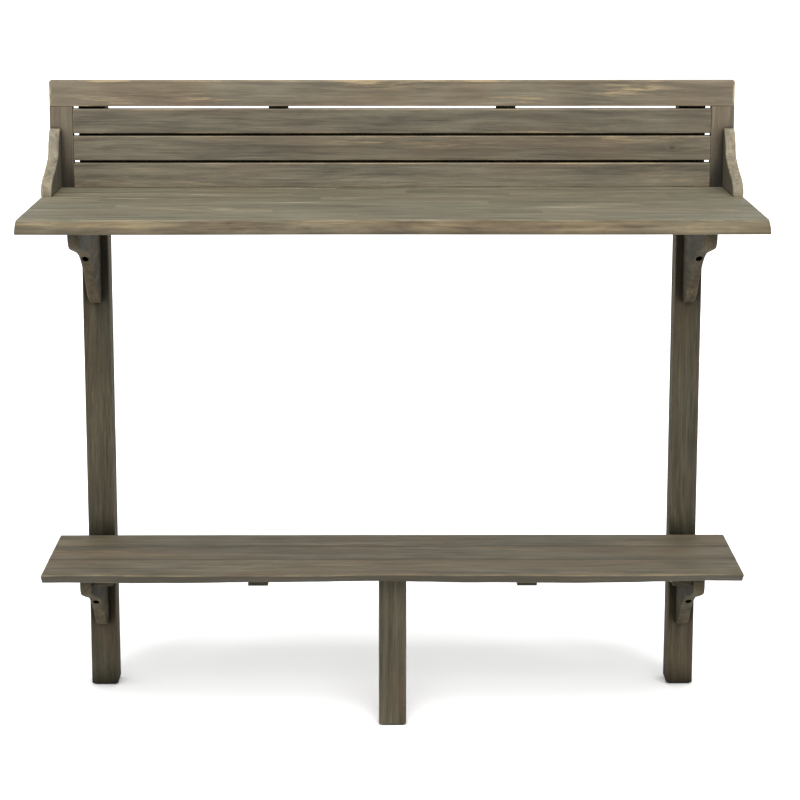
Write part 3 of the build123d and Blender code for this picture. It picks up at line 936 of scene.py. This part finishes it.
def live_strip():
    """The worktop's front strip, with the live edge."""
    node = "worktop_strip_1"
    low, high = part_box(node)
    piece = live_board(node, worktop_front, 2.2, seed=1)
    mark_field(piece, "warm_face", lambda p: lip_warmth(p, low))
    # Painted shade at the foot of the live edge.
    mark_field(piece, "stain_and_painted_shade", lambda p: lip_painted_shade(p, low))
    bore(piece, node, "end_bracket_screws")
    finish_piece(piece, node, "X", 1, [high.y], lambda vert: lip_wear(vert, low, high), rub=0.9,
                 scars=SCARS[1], tone=0.95)


def straight_strip(index):
    """One of the worktop's other strips."""
    node = "worktop_strip_%d" % index
    low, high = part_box(node)
    piece = board(node, "X", 1.6, 2.0, index, seams=(1, index < 9, 0, 0), ends=(0, 0, 1, 1))
    mark_field(piece, "stain_and_painted_shade", lambda p: seam_stain(p, [low.y], 0.35))
    bore(piece, node, "end_bracket_screws")
    finish_piece(piece, node, "X", index, [low.y, high.y], rub=0.9, staves=STAVES[index],
                 scars=SCARS.get(index, ()), tone=1.02)


def worktop_cleat(index):
    node = "worktop_cleat_%d" % index
    piece = board(node, "Y", 1.5, 1.5, 20 + index)
    bore(piece, node, "worktop_cleat_screws")
    bore(piece, node, "bracket_side_screws")
    finish_piece(piece, node, "Y", 20 + index)


def top_rail():
    node = "backsplash_top_rail"
    piece = board(node, "X", 2.2, 3.6, 31, ends=(1, 1, 0, 1))
    finish_piece(piece, node, "X", 31, rub=1.25, tone=1.22)


def slat(name, seed):
    node = "backsplash_slat_" + name
    piece = board(node, "X", 1.7, 0.4, seed)
    finish_piece(piece, node, "X", seed, rub=1.15, knots=SLAT_KNOTS.get(name, ()), tone=SLAT_TONES_WITH_PAINTED_LIGHT[name])


def stile(name, seed):
    node = "backsplash_stile_" + name
    piece = board(node, "Z", 1.6, 0.4, seed)
    finish_piece(piece, node, "Z", seed, rub=0.6, tone=0.98, crevice=0.8)


def backsplash_batten(name, seed):
    node = "backsplash_batten_" + name
    piece = board(node, "Z", 1.5, 1.5, seed)
    bore(piece, node, "backsplash_batten_screws")
    finish_piece(piece, node, "Z", seed)


def ear(name, seed):
    """The shaped board at one end of the backsplash."""
    node = "end_bracket_" + name
    piece = slab(node, EAR, 2.8, seed, rim=True)
    # Painted shade on the ear's side faces.
    paint_side_shade(piece, node, 0.8)
    finish_piece(piece, node, "Z", seed, rub=0.25, tone=1.55, warmth=0.05, end_grain=0.05)


def post(name, seed):
    """A rear post, with counterbores for the rail bolts and the backsplash's screws."""
    node = "post_" + name
    piece = board(node, "Z", 2.4, 1.8, seed)
    bore(piece, node, "rail_bolts", play=1.5, inwards=5.0, outwards=14.0, slack=0.0)
    bore(piece, node, "post_screws", play=1.5, inwards=3.0, outwards=24.0, slack=0.0)
    finish_piece(piece, node, "Z", seed, rub=0.45, tone=1.27, crevice=0.8)


def bracket(node, shape, seed):
    """An ogee bracket, counterbored from its front for the bolt into the post."""
    piece = slab(node, shape, 2.6, seed)
    bore(piece, node, "bracket_bolts", play=0.4, inwards=5.0, outwards=105.0)
    # Painted shade on the bracket's side faces.
    paint_side_shade(piece, node, 0.7)
    finish_piece(piece, node, "Y", seed, rub=0.6, tone=1.15, end_grain=0.3, crevice=0.4)


def back_rail(node, seed):
    piece = board(node, "X", 2.0, 0.5, seed)
    finish_piece(piece, node, "X", seed)


def centre_leg():
    node = "centre_leg"
    piece = board(node, "Z", 2.4, 1.8, 72)
    bore(piece, node, "leg_screws")
    finish_piece(piece, node, "Z", 72, rub=0.6, tone=1.22)


def live_plank():
    """The shelf's front plank, with the live edge."""
    node = "shelf_plank_front"
    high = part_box(node)[1]
    piece = live_board(node, shelf_front, 2.2, seed=80)
    # Painted shade below the live edge's lip, and stain along the first seam.
    mark_field(piece, "stain_and_painted_shade", lambda p: shelf_shade_and_stain(p, high))
    finish_piece(piece, node, "X", 80, [high.y], rub=0.9, warmth=0.5)


def straight_plank(name, seed):
    """One of the shelf's other planks."""
    node = "shelf_plank_" + name
    low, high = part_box(node)
    seams = [low.y, high.y] if name == "middle" else [low.y]
    piece = board(node, "X", 1.4, 1.8, seed, ends=(0, 0, 1, 1))
    mark_field(piece, "stain_and_painted_shade", lambda p: seam_stain(p, seams, 1.0))
    finish_piece(piece, node, "X", seed, [low.y, high.y], rub=0.9, warmth=0.5)


def shelf_batten(index):
    node = "shelf_batten_%d" % index
    piece = board(node, "Y", 1.5, 1.5, 90 + index)
    bore(piece, node, "shelf_batten_screws")
    if index in (1, 5):
        bore(piece, node, "bracket_side_screws")
    finish_piece(piece, node, "Y", 90 + index)


def hardware():
    """Materials for the pieces that stay as CAD made them."""
    steel, plastic = zinc(), pad_plastic()
    dowel_wood = wood("dowel_wood", "frame_wood", "X", 99)
    for node, mesh_object in NODES.items():
        if node.endswith(("_bolts", "_screws")):
            look = steel
        elif node.startswith("foot_pad"):
            look = plastic
        elif node == "backsplash_dowels":
            look = dowel_wood
        else:
            continue
        mesh_object.data.materials.clear()
        mesh_object.data.materials.append(look)


live_strip()
for index in range(2, 10):
    straight_strip(index)
for index in range(1, 5):
    worktop_cleat(index)

top_rail()
for index, name in enumerate(("lower", "middle", "upper")):
    slat(name, 33 + index)
for name, side in SIDES:
    stile(name, 40 + side)
    backsplash_batten(name, 43 + side)
    ear(name, 46 + side)

for name, side in SIDES:
    post(name, 50 + side)
    bracket("worktop_bracket_" + name, UPPER_BRACKET, 60 + side)
    bracket("shelf_bracket_" + name, LOWER_BRACKET, 65 + side)
back_rail("upper_back_rail", 70)
back_rail("lower_back_rail", 71)
centre_leg()

live_plank()
straight_plank("middle", 81)
straight_plank("back", 82)
for index in range(1, 6):
    shelf_batten(index)

hardware()


# ---- Studio

FLOOR_HALF = 40.0
FLOOR_WHITE = 0.95
SKY_STRENGTH = 1.12
KEY_ENERGY = 3.5
KEY_ANGLE = math.radians(48)
KEY_TURN = (math.radians(38), 0, math.radians(3))
LENS = 105.7
SHIFT = (0.0064, -0.10)
CAMERA_PLACE = (-0.011, -3.930, 1.445)
CAMERA_TURN = (math.radians(79.54), 0.0, math.radians(-0.22))


def floor():
    """A wide, pale, matt floor."""
    half = FLOOR_HALF
    mesh = bpy.data.meshes.new("studio_floor")
    mesh.from_pydata([(-half, -half, 0), (half, -half, 0), (half, half, 0), (-half, half, 0)], [],
                     [(0, 1, 2, 3)])
    plane = bpy.data.objects.new("studio_floor", mesh)
    bpy.context.scene.collection.objects.link(plane)
    material = bpy.data.materials.new("studio_floor")
    material.use_nodes = True
    shader = material.node_tree.nodes["Principled BSDF"]
    shader.inputs["Base Color"].default_value = tint(FLOOR_WHITE, FLOOR_WHITE, FLOOR_WHITE)
    shader.inputs["Roughness"].default_value = 1.0
    shader.inputs["Specular IOR Level"].default_value = 0.0
    mesh.materials.append(material)


def lights(scene):
    """A white surround, and a large soft light from above and in front."""
    world = bpy.data.worlds.new("studio")
    world.use_nodes = True
    background = world.node_tree.nodes["Background"]
    background.inputs["Color"].default_value = tint(1.0, 1.0, 1.0)
    background.inputs["Strength"].default_value = SKY_STRENGTH
    scene.world = world
    key = bpy.data.lights.new("key", "SUN")
    key.energy = KEY_ENERGY
    key.angle = KEY_ANGLE
    key_object = bpy.data.objects.new("key", key)
    key_object.rotation_euler = KEY_TURN
    scene.collection.objects.link(key_object)


def photo_camera(scene):
    """The camera near the photo's own viewpoint."""
    data = bpy.data.cameras.new("photo")
    data.sensor_width = 36.0
    data.lens = LENS
    data.shift_x, data.shift_y = SHIFT
    data.clip_end = 200.0
    camera = bpy.data.objects.new("photo", data)
    camera.location = CAMERA_PLACE
    camera.rotation_euler = CAMERA_TURN
    scene.collection.objects.link(camera)
    scene.camera = camera


floor()
lights(bpy.context.scene)
photo_camera(bpy.context.scene)
bpy.context.scene.view_settings.view_transform = "Standard"
bpy.context.scene.view_settings.look = "None"
